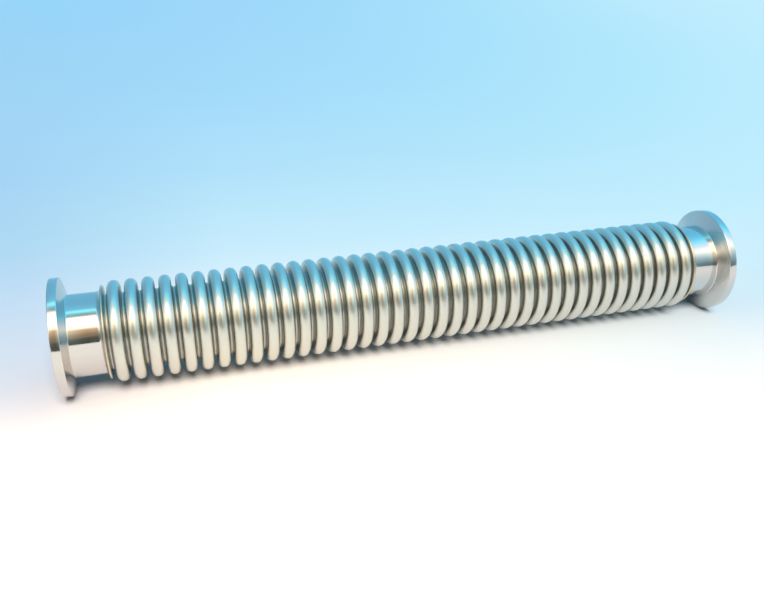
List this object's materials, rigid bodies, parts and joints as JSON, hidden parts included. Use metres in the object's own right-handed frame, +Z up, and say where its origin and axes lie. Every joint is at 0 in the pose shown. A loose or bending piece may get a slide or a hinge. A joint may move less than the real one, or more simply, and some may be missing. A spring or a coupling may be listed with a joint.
{
  "type": "vacuum bellows hose",
  "caption": "Flexible metal vacuum hose: a corrugated bellows tube edge-welded between two bored, quick-clamp flanges with tapered backs and short necks.",
  "frame": {"origin": "on the surface that the hose lies on, under the middle of its length", "axes": "+X along the hose's own axis, towards the right flange; +Z up, away from the surface that the two rims lie on; the hose's axis is 20 mm up"},
  "size_m": [0.25, 0.04, 0.04],
  "materials": {
    "turned_steel": "stainless steel, fine turned and polished",
    "formed_steel": "thin stainless steel, bright as formed",
    "weld": "stainless steel edge weld, rippled and slightly straw-tinted"
  },
  "bodies": {
    "root": {"left_flange": "turned_steel", "right_flange": "turned_steel", "bellows_tube": "formed_steel", "left_weld_bead": "weld", "right_weld_bead": "weld"}
  },
  "joints": []
}
